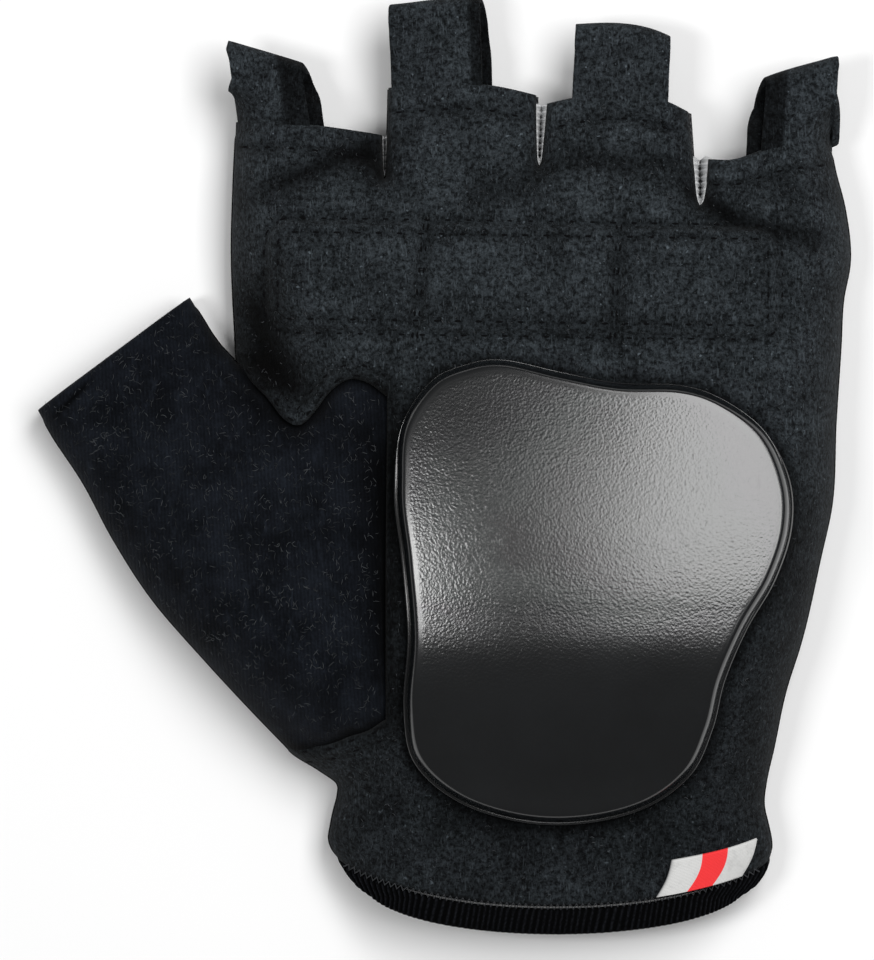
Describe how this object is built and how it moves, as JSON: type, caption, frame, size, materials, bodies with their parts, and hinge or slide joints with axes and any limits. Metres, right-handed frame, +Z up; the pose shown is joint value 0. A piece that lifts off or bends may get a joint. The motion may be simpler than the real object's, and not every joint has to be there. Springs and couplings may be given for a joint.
{
  "type": "wrist guard glove",
  "caption": "Fingerless skating glove for the left hand, lying palm up, with a hard slider on the heel of the palm, an elastic cuff and a pull loop at each finger.",
  "frame": {"origin": "on the surface the glove lies on, under the middle of its outline", "axes": "+X across the hand from the thumb to the little finger, +Y from the wrist to the fingers, +Z up out of the palm"},
  "size_m": [0.1386, 0.1596, 0.0323],
  "materials": {
    "suede": "soft napped suede with short lint",
    "loop_suede": "the palm's suede, folded",
    "back_knit": "plain matte stretch knit",
    "stretch_fabric": "fine brushed stretch fabric",
    "white_knit": "ribbed light knit between the fingers",
    "slider_plastic": "hard plastic with a leather-like grain, half gloss",
    "elastic": "ribbed elastic binding",
    "tag_weave": "folded woven ribbon in white, red and white stripes"
  },
  "bodies": {
    "root": {"palm_panel": "suede", "back_panel": "back_knit", "thumb_panel": "stretch_fabric", "finger_web_index_middle": "white_knit", "finger_web_middle_ring": "white_knit", "finger_web_ring_little": "white_knit", "pull_loop_index": "loop_suede", "pull_loop_middle": "loop_suede", "pull_loop_ring": "loop_suede", "pull_loop_little": "loop_suede", "palm_slider": "slider_plastic", "wrist_binding": "elastic", "stripe_tag": "tag_weave"}
  },
  "joints": []
}
